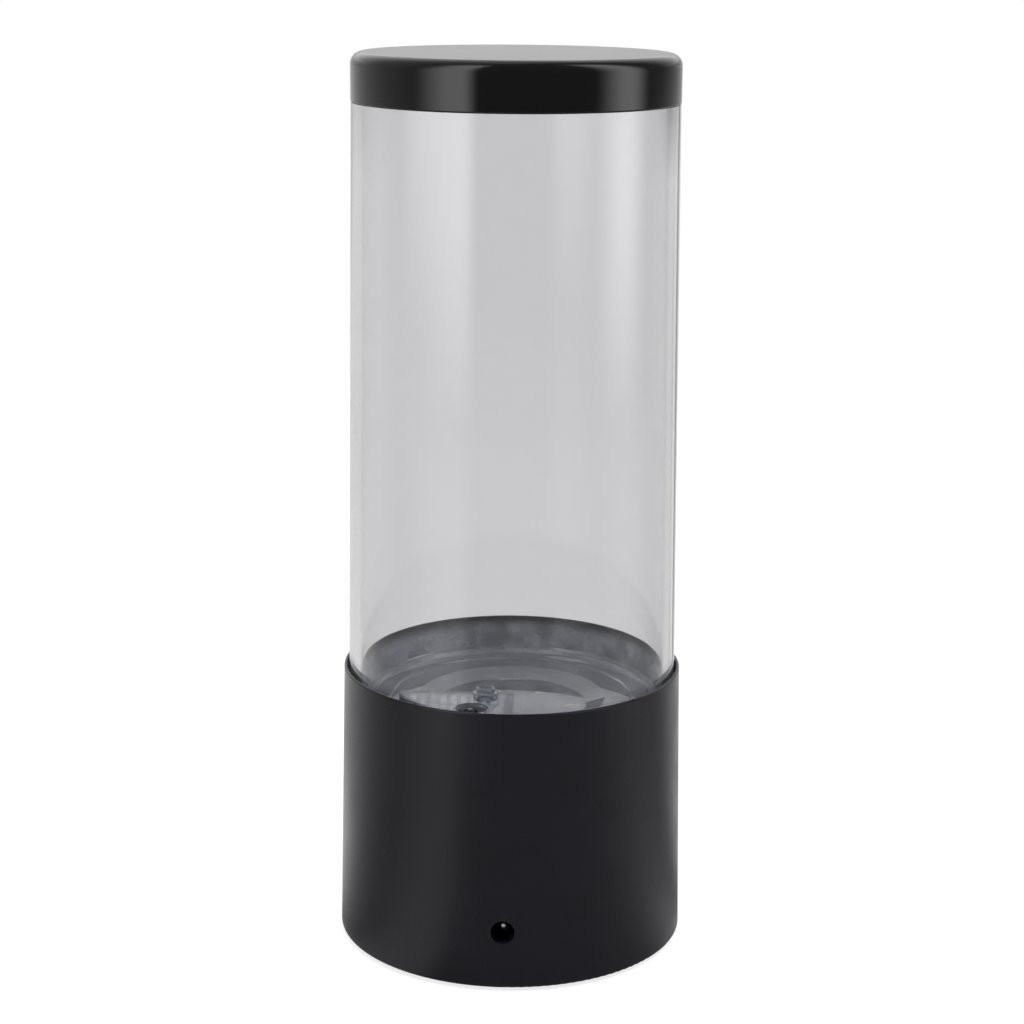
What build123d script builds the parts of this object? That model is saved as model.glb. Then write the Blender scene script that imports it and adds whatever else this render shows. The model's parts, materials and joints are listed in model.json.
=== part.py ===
"""A jellyfish lamp: a clear round tank on a black base, with a lid that lifts off and a magnetic pump."""

from build123d import *
import math
import os

os.makedirs("parts", exist_ok=True)

# Driving dimensions in millimetres, +Z up, the socket towards -Y, the origin under the middle of the feet

# Base shell, which follows the tube's radius
foot_stand = 1.0
shell_height = 71.5
rim_gap = 0.3
rim_wall = 0.8
shell_draft = 1.4
shell_wall = 2.4
rim_round = 0.38
shell_edge_round = 0.6
ledge_width = 2.8
ledge_thickness = 3.0

# Tank
floor_drop = 9.0
floor_thickness = 4.0
flange_thickness = 2.0
tube_radius = 42.5
tube_taper = 1.85
tube_wall = 3.0
tube_show = 144.1
glue_gap = 0.1
ring_width = 2.9
ring_rise = 1.2
step_width = 5.5
step_rise = 0.4
floor_round = 0.3
dish_margin = 6.7
dish_depth = 2.0
dish_slope_width = 4.8
neck_cut = 1.5
neck_height = 9.7
neck_round = 0.4

# Gasket and tray
gasket_thickness = 1.0
gasket_width = 3.8
gasket_margin = 0.2
tray_thickness = 2.0
tray_gap = 0.3

# Lid
lid_gap = 0.1
lid_overhang = 0.1
lid_height = 12.0
lid_roof = 2.0
lid_top_round = 3.0
skirt_gap = 0.3
plug_gap = 0.4
plug_wall = 3.5
plug_depth = 8.5
seal_wire = 0.85
seal_gap = 0.15
seal_groove_gap = 0.1
seal_drop = 5.0
lid_lip_round = 0.3

# Pump axis and impeller
pump_angle = -115.9
pump_inset = 17.7
impeller_radius = 4.3
impeller_rise = 1.8
well_depth = 2.0
well_gap = 0.9
well_floor_gap = 0.3
drum_height = 2.2
vane_count = 6
vane_thickness = 0.6
vane_tip_gap = 0.3
shroud_thickness = 0.4
eye_radius = 1.9
hub_radius = 1.3
pin_radius = 0.75
pin_seat = 1.2
pin_rise = 2.6
running_gap = 0.05
press_gap = 0.02
impeller_magnet_radius = 1.1
impeller_magnet_length = 1.7
impeller_magnet_circle_radius = 2.75
magnet_count = 4

# Pump cover
cover_step_gap = 0.5
cover_back_reach = 9.3
cover_side_reach = 10.6
cover_height = 4.0
cover_wall = 1.2
cover_side_wall = 2.2
cover_roof = 1.0
cover_corner_round = 1.0
notch_width = 1.6
notch_height = 2.5
notch_spacing = 2.6
intake_radius = 4.1
intake_gap = 0.4
nozzle_side_offset = 3.6
nozzle_back_offset = 4.2
nozzle_bore = 1.8
nozzle_wall = 0.6
nozzle_height = 2.9
nozzle_shoulder = 0.8
nozzle_shoulder_height = 1.8

# Drive hub and motor
drive_gap = 0.8
drive_hub_radius = 5.5
drive_hub_thickness = 3.0
drive_hub_clearance = 1.0
drive_magnet_radius = 1.4
drive_magnet_length = 2.0
drive_magnet_circle_radius = 3.2
motor_radius = 8.0
motor_height = 11.0
motor_wall = 0.8
motor_top = 1.0
motor_boss_radius = 3.0
motor_boss_height = 1.0
motor_hub_space = 1.2
motor_shaft_radius = 1.0
shaft_grip = 2.0
shaft_end_space = 0.5
bush_radius = 2.0
end_cap_thickness = 2.0
end_cap_gap = 0.05
armature_gap = 0.7
armature_height = 5.0
motor_magnet_wall = 1.2
motor_magnet_gap = 0.1
motor_magnet_height = 6.5
motor_magnet_gap_angle = 40.0

# Cradle that hangs the motor under the tray
cradle_gap = 0.1
cradle_wall = 1.5
cradle_floor = 2.0
cradle_depth = 8.0
cradle_hole_radius = 5.5
ear_reach = 12.8
ear_width = 7.0
ear_thickness = 2.0
ear_boss_radius = 3.0

# Lamp board
led_count = 5
led_pitch_angle = 45.0
led_circle_radius = 17.0
led_size = 5.0
led_height = 1.6
led_lens_radius = 1.9
led_hole_radius = 3.8
led_board_outer_radius = 26.0
led_board_inner_radius = 8.0
led_board_thickness = 1.2
led_board_gap_angle = 130.0
led_board_space = 1.2
led_peg_radius = 2.2
led_peg_inset = 4.0
led_peg_count = 4

# Screws
pilot_gap = 0.05
small_screw_radius = 0.9
small_screw_head = 1.7
small_screw_head_height = 1.0
small_screw_length = 3.6
tray_screw_radius = 1.1
tray_screw_head = 2.1
tray_screw_head_height = 1.0
tray_screw_length = 7.0
tray_screw_count = 3
tray_screw_inset = 0.4
tray_boss_radius = 3.2
tray_boss_height = 9.0
head_recess_gap = 0.1
head_side_gap = 0.3
cover_screw_radius = 1.5
cover_screw_head = 2.6
cover_screw_head_height = 1.2
cover_screw_length = 8.0
cover_screw_count = 4
cover_screw_inset = 6.6
cover_boss_radius = 3.4
cover_boss_height = 9.0
boss_rib_width = 3.0
slot_width_share = 0.28
slot_length_share = 1.2
slot_depth_share = 0.5
shank_gap = 0.2

# Bottom cover and feet
cover_plate_thickness = 2.4
cover_plate_gap = 0.3
foot_radius = 5.0
foot_inset = 9.6
foot_count = 4
foot_gap = 0.1
foot_round = 0.5
cover_plate_round = 0.4

# Control board and socket
jack_z = 15.8
jack_width = 9.0
jack_height = 11.0
jack_length = 14.0
jack_bore_radius = 3.0
jack_bore_depth = 9.5
jack_wall_gap = 0.25
jack_edge_round = 0.5
jack_pin_radius = 1.0
jack_pin_recess = 4.4
jack_pin_round = 0.7
leaf_width = 2.0
leaf_thickness = 0.3
leaf_slot_depth = 0.8
leaf_slot_gap = 0.2
leaf_end_space = 1.0
leaf_crest = 0.25
board_thickness = 1.6
board_width = 30.0
board_length = 34.0
board_jack_step = 3.5
board_post_inset_x = 3.0
board_post_inset_y = 4.0
board_post_radius = 2.6
board_corner_round = 1.5
chip_x = 7.0
chip_board_offset = 3.6
chip_length = 6.0
chip_width = 4.0
chip_height = 1.6
chip_leg_length = 1.0
chip_leg_width = 0.4
chip_leg_spacing = 1.27
chip_leg_count = 4
chip_leg_height = 0.5
capacitor_x = -7.5
capacitor_board_offset = 3.6
capacitor_radius = 3.15
capacitor_height = 8.0
capacitor_round = 0.5
connector_x = 5.0
connector_board_offset = 13.1
connector_length = 7.0
connector_width = 4.5
connector_height = 5.5
connector_wall = 0.8
connector_depth = 3.5
wire_radius = 0.5
wire_spacing = 1.8
lead_rise = 9.0
run_share = 0.45
led_lead_radius = 15.0
led_lead_turn_angle = -11.0

# One overrun for every cut
overrun = 1.0

# Angles and counts that follow the layout
full_turn = 360.0
socket_angle = -90.0
screw_start_angle = 45.0

# Heights, from the table up
shell_bottom_z = foot_stand
rim_z = shell_bottom_z + shell_height
floor_z = rim_z - floor_drop
floor_bottom_z = floor_z - floor_thickness
flange_top_z = floor_bottom_z + flange_thickness
ring_top_z = floor_z + ring_rise
tray_top_z = floor_bottom_z - gasket_thickness
tray_bottom_z = tray_top_z - tray_thickness
ledge_bottom_z = tray_bottom_z - ledge_thickness
shoulder_z = rim_z + tube_show
lid_bottom_z = shoulder_z + lid_gap
lid_top_z = lid_bottom_z + lid_height
roof_bottom_z = lid_top_z - lid_roof
cover_plate_top_z = shell_bottom_z + cover_plate_thickness

# Radii that follow from the fits
rim_bore_radius = tube_radius + rim_gap
shell_top_radius = rim_bore_radius + rim_wall
shell_bottom_radius = shell_top_radius + shell_draft
shell_inner_radius = shell_bottom_radius - shell_wall
ledge_radius = rim_bore_radius - ledge_width
tray_screw_circle_radius = ledge_radius - tray_screw_inset
cover_screw_circle_radius = shell_inner_radius - cover_screw_inset
foot_circle_radius = shell_inner_radius - foot_inset
gasket_outer_radius = tube_radius - gasket_margin
tube_bore_radius = tube_radius - tube_wall
tube_top_radius = tube_radius - tube_taper
tube_top_bore_radius = tube_top_radius - tube_wall
neck_radius = tube_top_radius - neck_cut
spigot_radius = tube_bore_radius - glue_gap
ring_inner_radius = spigot_radius - ring_width
step_radius = ring_inner_radius - step_width
dish_radius = step_radius - dish_margin
led_peg_circle_radius = led_board_outer_radius - led_peg_inset


def polar(radius, angle):
    """The point at this radius and angle round the tank's axis."""
    return (radius * math.cos(math.radians(angle)), radius * math.sin(math.radians(angle)))


# Pump, by its distance from the tank's wall, and what is set out from it
pump_point = polar(tube_bore_radius - pump_inset, pump_angle)
pump_x, pump_y = pump_point
away_angle = pump_angle + full_turn / 2
cover_radius = step_radius - cover_step_gap
cover_back_y = pump_y + cover_back_reach
cover_right_x = pump_x + cover_side_reach
nozzle_x = pump_x + nozzle_side_offset
nozzle_y = pump_y + nozzle_back_offset
nozzle_angle = math.degrees(math.atan2(nozzle_y, nozzle_x))
intake_point = polar(cover_radius - cover_wall - intake_gap - intake_radius, nozzle_angle)


def pan_screw(head_radius, head_height, shank_radius, length):
    """A screw with a cross slot: the underside of its head is at the origin and its shank points up."""
    slot_width = head_radius * slot_width_share
    slot_length = head_radius * slot_length_share
    with BuildPart() as screw:
        Cylinder(head_radius, head_height, align=(Align.CENTER, Align.CENTER, Align.MAX))
        Cylinder(shank_radius, length, align=(Align.CENTER, Align.CENTER, Align.MIN))
        with BuildSketch(Plane.XY.offset(-head_height)):
            Rectangle(slot_length, slot_width)
            Rectangle(slot_width, slot_length)
        extrude(amount=head_height * slot_depth_share, mode=Mode.SUBTRACT)
    return screw.part


def write(piece, name):
    """Label a finished piece and write it under its node's name."""
    piece.part.label = name
    export_step(piece.part, f"parts/{name}.step")


# Base shell: a slightly drafted round wall, a thin rim round the tank, a ledge for the tray and screw bosses
with BuildPart() as base_shell:
    with BuildSketch(Plane.XZ):
        with BuildLine():
            Polyline(
                (shell_inner_radius, shell_bottom_z),
                (shell_bottom_radius, shell_bottom_z),
                (shell_top_radius, rim_z),
                (rim_bore_radius, rim_z),
                (rim_bore_radius, tray_bottom_z),
                (ledge_radius, tray_bottom_z),
                (ledge_radius, ledge_bottom_z),
                (shell_inner_radius, ledge_bottom_z - (shell_inner_radius - ledge_radius)),
                close=True,
            )
        make_face()
    revolve(axis=Axis.Z)
    fillet(base_shell.edges().group_by(Axis.Z)[-1], radius=rim_round)
    fillet(base_shell.edges().group_by(Axis.Z)[0].sort_by(SortBy.LENGTH)[-1], radius=shell_edge_round)
    rib_outer_radius = shell_inner_radius + shell_wall / 2
    rib_middle_radius = (cover_screw_circle_radius + rib_outer_radius) / 2
    with BuildSketch(Plane.XY.offset(cover_plate_top_z)):
        with PolarLocations(cover_screw_circle_radius, cover_screw_count, start_angle=screw_start_angle):
            Circle(cover_boss_radius)
        with PolarLocations(rib_middle_radius, cover_screw_count, start_angle=screw_start_angle):
            Rectangle(rib_outer_radius - cover_screw_circle_radius, boss_rib_width)
    extrude(amount=cover_boss_height)
    with BuildSketch(Plane.XY.offset(cover_plate_top_z)):
        with PolarLocations(cover_screw_circle_radius, cover_screw_count, start_angle=screw_start_angle):
            Circle(cover_screw_radius + pilot_gap)
    extrude(amount=cover_boss_height - shell_wall / 2, mode=Mode.SUBTRACT)
    with BuildSketch(Plane.XY.offset(tray_bottom_z - tray_boss_height)):
        with PolarLocations(tray_screw_circle_radius, tray_screw_count, start_angle=-socket_angle):
            Circle(tray_boss_radius)
    extrude(amount=tray_boss_height)
    with BuildSketch(Plane.XY.offset(tray_bottom_z)):
        with PolarLocations(tray_screw_circle_radius, tray_screw_count, start_angle=-socket_angle):
            Circle(tray_screw_radius + pilot_gap)
    extrude(amount=-(tray_boss_height - shell_wall / 2), mode=Mode.SUBTRACT)
    with BuildSketch(Plane.XZ.offset(shell_inner_radius - overrun)):
        with Locations((0, jack_z)):
            Circle(jack_bore_radius)
    extrude(amount=shell_wall + 2 * overrun, mode=Mode.SUBTRACT)
write(base_shell, "base_shell")

# Tray: carries the tank, with a window for the drive hub and one for each light
led_angles = [away_angle + (i - (led_count - 1) / 2) * led_pitch_angle for i in range(led_count)]
peg_angles = [away_angle + (i - (led_peg_count - 1) / 2) * led_pitch_angle for i in range(led_peg_count)]
led_points = [polar(led_circle_radius, angle) for angle in led_angles]
peg_points = [polar(led_peg_circle_radius, angle) for angle in peg_angles]
led_board_top_z = tray_bottom_z - led_board_space
led_board_bottom_z = led_board_top_z - led_board_thickness
drive_hub_top_z = floor_bottom_z - drive_gap
drive_hub_bottom_z = drive_hub_top_z - drive_hub_thickness
motor_top_z = drive_hub_bottom_z - motor_hub_space - motor_boss_height
motor_bottom_z = motor_top_z - motor_height
cradle_bottom_z = motor_bottom_z - cradle_floor
cradle_top_z = motor_bottom_z + cradle_depth
ear_plane = Plane(origin=(pump_x, pump_y, cradle_top_z), x_dir=Vector(-pump_y, pump_x, 0), z_dir=(0, 0, 1))

with BuildPart() as tank_tray:
    with BuildSketch(Plane.XY.offset(tray_bottom_z)):
        Circle(rim_bore_radius - tray_gap)
        with Locations(pump_point):
            Circle(drive_hub_radius + drive_hub_clearance, mode=Mode.SUBTRACT)
        with Locations(*led_points):
            Circle(led_hole_radius, mode=Mode.SUBTRACT)
    extrude(amount=tray_thickness)
    with BuildSketch(Plane.XY.offset(led_board_top_z)):
        with Locations(*peg_points):
            Circle(led_peg_radius)
    extrude(amount=led_board_space)
    with BuildSketch(ear_plane):
        with Locations((ear_reach, 0), (-ear_reach, 0)):
            Circle(ear_boss_radius)
    extrude(amount=tray_bottom_z - cradle_top_z)
    with BuildSketch(Plane.XY.offset(led_board_top_z)):
        with Locations(*peg_points):
            Circle(small_screw_radius + pilot_gap)
    extrude(amount=small_screw_length - led_board_thickness + head_recess_gap, mode=Mode.SUBTRACT)
    with BuildSketch(ear_plane):
        with Locations((ear_reach, 0), (-ear_reach, 0)):
            Circle(small_screw_radius + pilot_gap)
    extrude(amount=small_screw_length - ear_thickness + head_recess_gap, mode=Mode.SUBTRACT)
    with Locations(Plane.XY.offset(tray_top_z)):
        with PolarLocations(tray_screw_circle_radius, tray_screw_count, start_angle=-socket_angle):
            CounterBoreHole(
                tray_screw_radius + pilot_gap,
                tray_screw_head + head_side_gap,
                tray_screw_head_height + head_recess_gap,
                depth=tray_thickness,
            )
write(tank_tray, "tank_tray")

tray_screw_seat_z = tray_top_z - tray_screw_head_height - head_recess_gap
tray_screw = pan_screw(tray_screw_head, tray_screw_head_height, tray_screw_radius, tray_screw_length)
with BuildPart() as tray_screws:
    with Locations(Plane.XY.offset(tray_screw_seat_z)):
        with PolarLocations(tray_screw_circle_radius, tray_screw_count, start_angle=-socket_angle):
            add(tray_screw, rotation=(180, 0, 0))
write(tray_screws, "tray_screws")

# Gasket: a soft flat ring that the tank stands on
with BuildPart() as tank_gasket:
    with BuildSketch(Plane.XY.offset(tray_top_z)):
        Circle(gasket_outer_radius)
        Circle(gasket_outer_radius - gasket_width, mode=Mode.SUBTRACT)
    extrude(amount=gasket_thickness)
write(tank_gasket, "tank_gasket")

# Tank floor: a clear plate with a flange, a raised ring, a step, a flat dish and the pump's pad
dish_z = floor_z - dish_depth
with BuildSketch() as cover_outline:
    Circle(cover_radius)
    with Locations((cover_right_x, cover_back_y)):
        Rectangle(2 * cover_radius, 2 * cover_radius, align=(Align.MAX, Align.MAX), mode=Mode.INTERSECT)
    fillet(cover_outline.vertices(), radius=cover_corner_round)

with BuildPart() as tank_floor:
    with BuildSketch(Plane.XZ):
        with BuildLine():
            Polyline(
                (0, dish_z),
                (dish_radius - dish_slope_width, dish_z),
                (dish_radius, floor_z),
                (step_radius, floor_z),
                (step_radius + step_rise, floor_z + step_rise),
                (ring_inner_radius - ring_rise / 2, floor_z + step_rise),
                (ring_inner_radius, ring_top_z),
                (spigot_radius, ring_top_z),
                (spigot_radius, flange_top_z),
                (tube_radius, flange_top_z),
                (tube_radius, floor_bottom_z),
                (0, floor_bottom_z),
                close=True,
            )
        make_face()
    revolve(axis=Axis.Z)
    fillet(tank_floor.edges().group_by(Axis.Z)[-1], radius=floor_round)
    with BuildSketch(Plane.XY.offset(floor_bottom_z)):
        add(cover_outline.sketch)
    extrude(amount=floor_thickness)
    with BuildSketch(Plane.XY.offset(floor_z - well_depth)):
        with Locations(pump_point):
            Circle(impeller_radius + well_gap)
    extrude(amount=well_depth + overrun, mode=Mode.SUBTRACT)
    with BuildSketch(Plane.XY.offset(floor_z - well_depth - pin_seat)):
        with Locations(pump_point):
            Circle(pin_radius + press_gap)
    extrude(amount=pin_seat + overrun, mode=Mode.SUBTRACT)
write(tank_floor, "tank_floor")

# Tube: the clear wall of the tank, narrowing upwards, and turned down at the top into a neck for the lid
with BuildPart() as tank_tube:
    with BuildSketch(Plane.XZ):
        with BuildLine():
            Polyline(
                (tube_bore_radius, flange_top_z),
                (tube_radius, flange_top_z),
                (tube_top_radius, shoulder_z),
                (neck_radius, shoulder_z),
                (neck_radius, shoulder_z + neck_height),
                (tube_top_bore_radius, shoulder_z + neck_height),
                (tube_top_bore_radius, shoulder_z),
                close=True,
            )
        make_face()
    revolve(axis=Axis.Z)
    fillet(tank_tube.edges().group_by(Axis.Z)[-1], radius=neck_round)
write(tank_tube, "tank_tube")

# Pump cover: a low clear cap over the impeller, with notches along its back wall, a round intake in its
# roof and an outlet nozzle
cover_top_z = floor_z + cover_height
cover_left_x = -math.sqrt(cover_radius**2 - cover_back_y**2)
notch_room = (cover_right_x - cover_side_wall) - (cover_left_x + cover_wall) - 2 * cover_corner_round
notch_count = int(notch_room / notch_spacing)
notch_middle_x = (cover_right_x - cover_side_wall + cover_left_x + cover_wall) / 2
notch_straight = notch_height - notch_width / 2
with BuildPart() as pump_cover:
    with BuildSketch(Plane.XY.offset(floor_z)):
        add(cover_outline.sketch)
    extrude(amount=cover_height)
    with BuildSketch(Plane.XY.offset(floor_z)):
        add(cover_outline.sketch)
        offset(amount=-cover_wall)
        with Locations((cover_right_x - cover_side_wall, cover_back_y)):
            Rectangle(2 * cover_radius, 2 * cover_radius, align=(Align.MAX, Align.MAX), mode=Mode.INTERSECT)
    extrude(amount=cover_height - cover_roof, mode=Mode.SUBTRACT)
    with BuildSketch(Plane.XZ.offset(-cover_back_y - overrun)):
        with Locations((notch_middle_x, floor_z)):
            with GridLocations(notch_spacing, notch_spacing, notch_count, 1):
                Rectangle(notch_width, notch_straight, align=(Align.CENTER, Align.MIN))
        with Locations((notch_middle_x, floor_z + notch_straight)):
            with GridLocations(notch_spacing, notch_spacing, notch_count, 1):
                Circle(notch_width / 2)
    extrude(amount=cover_wall + 2 * overrun, mode=Mode.SUBTRACT)
    with BuildSketch(Plane.XY.offset(cover_top_z)):
        with Locations((nozzle_x, nozzle_y)):
            Circle(nozzle_bore + nozzle_wall)
    extrude(amount=nozzle_height)
    with BuildSketch(Plane.XY.offset(cover_top_z)):
        with Locations((nozzle_x, nozzle_y)):
            Circle(nozzle_bore + nozzle_wall + nozzle_shoulder)
    extrude(amount=nozzle_shoulder_height)
    with BuildSketch(Plane.XY.offset(cover_top_z - cover_roof)):
        with Locations((nozzle_x, nozzle_y)):
            Circle(nozzle_bore)
    extrude(amount=cover_roof + nozzle_height, mode=Mode.SUBTRACT)
    with BuildSketch(Plane.XY.offset(cover_top_z - cover_roof)):
        with Locations(intake_point):
            Circle(intake_radius)
    extrude(amount=cover_roof + overrun, mode=Mode.SUBTRACT)
write(pump_cover, "pump_cover")

# Impeller: a drum that holds the magnets, vanes and a shroud with an eye, on a steel pin in the floor
impeller_z = floor_z - well_depth + well_floor_gap
impeller_top_z = floor_z + impeller_rise
vane_height = impeller_top_z - shroud_thickness - impeller_z - drum_height
vane_root_radius = hub_radius / 2
vane_length = impeller_radius - vane_tip_gap - vane_root_radius
magnet_angle = full_turn / magnet_count / 2
with BuildPart() as impeller_shaft:
    with BuildSketch(Plane.XY.offset(floor_z - well_depth - pin_seat)):
        with Locations(pump_point):
            Circle(pin_radius)
    extrude(amount=pin_seat + well_depth + pin_rise)
    fillet(impeller_shaft.edges().group_by(Axis.Z)[-1], radius=pin_radius / 3)
write(impeller_shaft, "impeller_shaft")

with BuildPart() as impeller:
    with BuildSketch(Plane.XY.offset(impeller_z)):
        with Locations(pump_point):
            Circle(impeller_radius)
    extrude(amount=drum_height)
    with BuildSketch(Plane.XY.offset(impeller_z + drum_height)):
        with Locations(pump_point):
            Circle(hub_radius)
            with PolarLocations(vane_root_radius, vane_count):
                Rectangle(vane_length, vane_thickness, align=(Align.MIN, Align.CENTER))
    extrude(amount=vane_height)
    with BuildSketch(Plane.XY.offset(impeller_top_z - shroud_thickness)):
        with Locations(pump_point):
            Circle(impeller_radius)
            Circle(eye_radius, mode=Mode.SUBTRACT)
    extrude(amount=shroud_thickness)
    with BuildSketch(Plane.XY.offset(impeller_z)):
        with Locations(pump_point):
            Circle(pin_radius + running_gap)
    extrude(amount=drum_height + vane_height, mode=Mode.SUBTRACT)
    with BuildSketch(Plane.XY.offset(impeller_z)):
        with Locations(pump_point):
            with PolarLocations(impeller_magnet_circle_radius, magnet_count, start_angle=magnet_angle):
                Circle(impeller_magnet_radius + press_gap)
    extrude(amount=impeller_magnet_length, mode=Mode.SUBTRACT)
write(impeller, "impeller")

with BuildPart() as impeller_magnets:
    with BuildSketch(Plane.XY.offset(impeller_z)):
        with Locations(pump_point):
            with PolarLocations(impeller_magnet_circle_radius, magnet_count, start_angle=magnet_angle):
                Circle(impeller_magnet_radius)
    extrude(amount=impeller_magnet_length)
write(impeller_magnets, "impeller_magnets")

# Drive hub: carries the magnets that turn the impeller through the tank's floor
shaft_top_z = drive_hub_bottom_z + shaft_grip
with BuildPart() as drive_hub:
    with BuildSketch(Plane.XY.offset(drive_hub_bottom_z)):
        with Locations(pump_point):
            Circle(drive_hub_radius)
    extrude(amount=drive_hub_thickness)
    with BuildSketch(Plane.XY.offset(drive_hub_top_z)):
        with Locations(pump_point):
            with PolarLocations(drive_magnet_circle_radius, magnet_count, start_angle=magnet_angle):
                Circle(drive_magnet_radius + press_gap)
    extrude(amount=-drive_magnet_length, mode=Mode.SUBTRACT)
    with BuildSketch(Plane.XY.offset(drive_hub_bottom_z)):
        with Locations(pump_point):
            Circle(motor_shaft_radius + press_gap)
    extrude(amount=shaft_grip, mode=Mode.SUBTRACT)
write(drive_hub, "drive_hub")

with BuildPart() as drive_magnets:
    with BuildSketch(Plane.XY.offset(drive_hub_top_z - drive_magnet_length)):
        with Locations(pump_point):
            with PolarLocations(drive_magnet_circle_radius, magnet_count, start_angle=magnet_angle):
                Circle(drive_magnet_radius)
    extrude(amount=drive_magnet_length)
write(drive_magnets, "drive_magnets")

# Motor: a drawn can, an end cap, two bushes and two field magnets round the shaft and its armature
motor_bore_radius = motor_radius - motor_wall
bush_length = motor_top + motor_boss_height
with BuildPart() as motor_can:
    with BuildSketch(Plane.XY.offset(motor_bottom_z)):
        with Locations(pump_point):
            Circle(motor_radius)
    extrude(amount=motor_height)
    with BuildSketch(Plane.XY.offset(motor_top_z)):
        with Locations(pump_point):
            Circle(motor_boss_radius)
    extrude(amount=motor_boss_height)
    with BuildSketch(Plane.XY.offset(motor_bottom_z)):
        with Locations(pump_point):
            Circle(motor_bore_radius)
    extrude(amount=motor_height - motor_top, mode=Mode.SUBTRACT)
    with BuildSketch(Plane.XY.offset(motor_top_z - motor_top)):
        with Locations(pump_point):
            Circle(bush_radius + press_gap)
    extrude(amount=bush_length, mode=Mode.SUBTRACT)
write(motor_can, "motor_can")

with BuildPart() as motor_end_cap:
    with BuildSketch(Plane.XY.offset(motor_bottom_z)):
        with Locations(pump_point):
            Circle(motor_bore_radius - end_cap_gap)
            Circle(bush_radius + press_gap, mode=Mode.SUBTRACT)
    extrude(amount=end_cap_thickness)
write(motor_end_cap, "motor_end_cap")

with BuildPart() as motor_bushes:
    with BuildSketch(Plane.XY.offset(motor_top_z - motor_top)):
        with Locations(pump_point):
            Circle(bush_radius)
            Circle(motor_shaft_radius + running_gap, mode=Mode.SUBTRACT)
    extrude(amount=bush_length)
    with BuildSketch(Plane.XY.offset(motor_bottom_z)):
        with Locations(pump_point):
            Circle(bush_radius)
            Circle(motor_shaft_radius + running_gap, mode=Mode.SUBTRACT)
    extrude(amount=end_cap_thickness)
write(motor_bushes, "motor_bushes")

with BuildPart() as motor_shaft:
    with BuildSketch(Plane.XY.offset(motor_bottom_z + shaft_end_space)):
        with Locations(pump_point):
            Circle(motor_shaft_radius)
    extrude(amount=shaft_top_z - motor_bottom_z - shaft_end_space)
write(motor_shaft, "motor_shaft")

magnet_outer_radius = motor_bore_radius - motor_magnet_gap
magnet_inner_radius = magnet_outer_radius - motor_magnet_wall
motor_inside_height = motor_height - motor_top - end_cap_thickness
magnet_bottom_z = motor_bottom_z + end_cap_thickness + (motor_inside_height - motor_magnet_height) / 2
armature_bottom_z = motor_bottom_z + end_cap_thickness + (motor_inside_height - armature_height) / 2
armature_radius = magnet_inner_radius - armature_gap
with BuildPart() as motor_armature:
    with BuildSketch(Plane.XY.offset(armature_bottom_z)):
        with Locations(pump_point):
            Circle(armature_radius)
            Circle(motor_shaft_radius + press_gap, mode=Mode.SUBTRACT)
    extrude(amount=armature_height)
write(motor_armature, "motor_armature")

magnet_gap_width = 2 * magnet_outer_radius * math.sin(math.radians(motor_magnet_gap_angle / 2))
with BuildPart() as motor_magnets:
    with BuildSketch(Plane.XY.offset(magnet_bottom_z)):
        with Locations(pump_point):
            Circle(magnet_outer_radius)
            Circle(magnet_inner_radius, mode=Mode.SUBTRACT)
            Rectangle(2 * motor_radius, magnet_gap_width, mode=Mode.SUBTRACT)
    extrude(amount=motor_magnet_height)
write(motor_magnets, "motor_magnets")

# Cradle: a cup under the motor with two ears screwed to the tray's bosses
cradle_bore_radius = motor_radius + cradle_gap
cradle_radius = cradle_bore_radius + cradle_wall
ear_bottom_plane = ear_plane.offset(-ear_thickness)
with BuildPart() as motor_cradle:
    with BuildSketch(Plane.XY.offset(cradle_bottom_z)):
        with Locations(pump_point):
            Circle(cradle_radius)
    extrude(amount=cradle_floor + cradle_depth)
    with BuildSketch(ear_bottom_plane):
        SlotCenterToCenter(2 * ear_reach, ear_width)
    extrude(amount=ear_thickness)
    with BuildSketch(Plane.XY.offset(motor_bottom_z)):
        with Locations(pump_point):
            Circle(cradle_bore_radius)
    extrude(amount=cradle_depth, mode=Mode.SUBTRACT)
    with BuildSketch(Plane.XY.offset(cradle_bottom_z)):
        with Locations(pump_point):
            Circle(cradle_hole_radius)
    extrude(amount=cradle_floor, mode=Mode.SUBTRACT)
    with BuildSketch(ear_bottom_plane):
        with Locations((ear_reach, 0), (-ear_reach, 0)):
            Circle(small_screw_radius + shank_gap)
    extrude(amount=ear_thickness, mode=Mode.SUBTRACT)
write(motor_cradle, "motor_cradle")

small_screw = pan_screw(small_screw_head, small_screw_head_height, small_screw_radius, small_screw_length)
with BuildPart() as cradle_screws:
    with Locations(ear_bottom_plane):
        with Locations((ear_reach, 0), (-ear_reach, 0)):
            add(small_screw)
write(cradle_screws, "cradle_screws")

# Lamp board: a C-shaped board under the tray that leaves the pump's side open, and its lights
half_gap = led_board_gap_angle / 2
gap_reach = (led_board_outer_radius + overrun) / math.cos(math.radians(half_gap))
with BuildPart() as led_board:
    with BuildSketch(Plane.XY.offset(led_board_bottom_z)):
        Circle(led_board_outer_radius)
        Circle(led_board_inner_radius, mode=Mode.SUBTRACT)
        with BuildLine():
            Polyline(
                (0, 0),
                polar(gap_reach, pump_angle - half_gap),
                polar(gap_reach, pump_angle + half_gap),
                close=True,
            )
        make_face(mode=Mode.SUBTRACT)
        with Locations(*peg_points):
            Circle(small_screw_radius + shank_gap, mode=Mode.SUBTRACT)
    extrude(amount=led_board_thickness)
write(led_board, "led_board")

with BuildPart() as leds:
    for point, angle in zip(led_points, led_angles):
        with BuildSketch(Plane.XY.offset(led_board_top_z)):
            with Locations(Location((point[0], point[1], 0), (0, 0, angle))):
                Rectangle(led_size, led_size)
        extrude(amount=led_height)
        with BuildSketch(Plane.XY.offset(led_board_top_z + led_height)):
            with Locations(point):
                Circle(led_lens_radius)
        extrude(amount=-led_height / 4, mode=Mode.SUBTRACT)
write(leds, "leds")

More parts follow.
